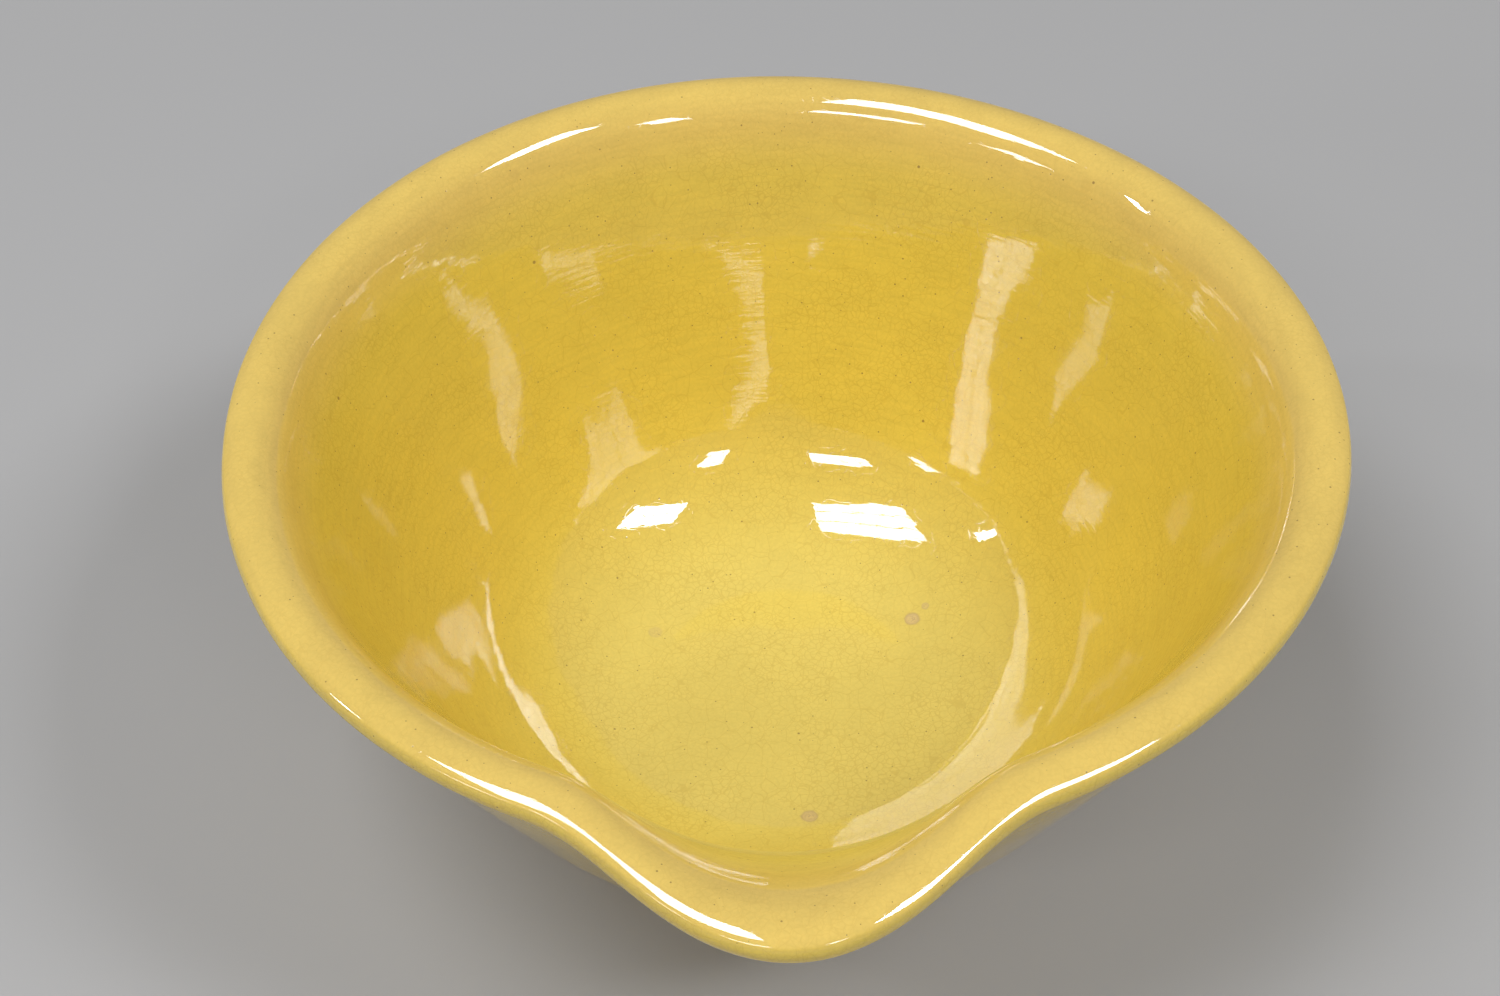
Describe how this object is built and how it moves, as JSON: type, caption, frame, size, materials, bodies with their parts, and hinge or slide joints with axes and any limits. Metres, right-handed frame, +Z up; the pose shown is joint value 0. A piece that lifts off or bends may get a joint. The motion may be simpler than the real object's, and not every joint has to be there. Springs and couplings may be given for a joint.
{
  "type": "mixing bowl",
  "caption": "Round glazed stoneware mixing bowl with a broad rolled lip, a pulled pouring lip and a low foot ring.",
  "frame": {"origin": "on the surface the bowl stands on, in the middle of its bounding box", "axes": "+Z up, -Y out along the pouring lip, +X across the bowl"},
  "size_m": [0.2199, 0.2388, 0.1],
  "materials": {
    "fired_clay": "bare buff stoneware, matt, showing only on the foot ring",
    "inner_glaze": "gloss yellow glaze, finely crazed",
    "outer_glaze": "gloss yellow glaze, finely crazed",
    "base_glaze": "gloss yellow glaze, thin and uneven"
  },
  "bodies": {
    "root": {"clay_body": "fired_clay", "inner_glaze": "inner_glaze", "outer_glaze": "outer_glaze", "base_glaze": "base_glaze"}
  },
  "joints": []
}
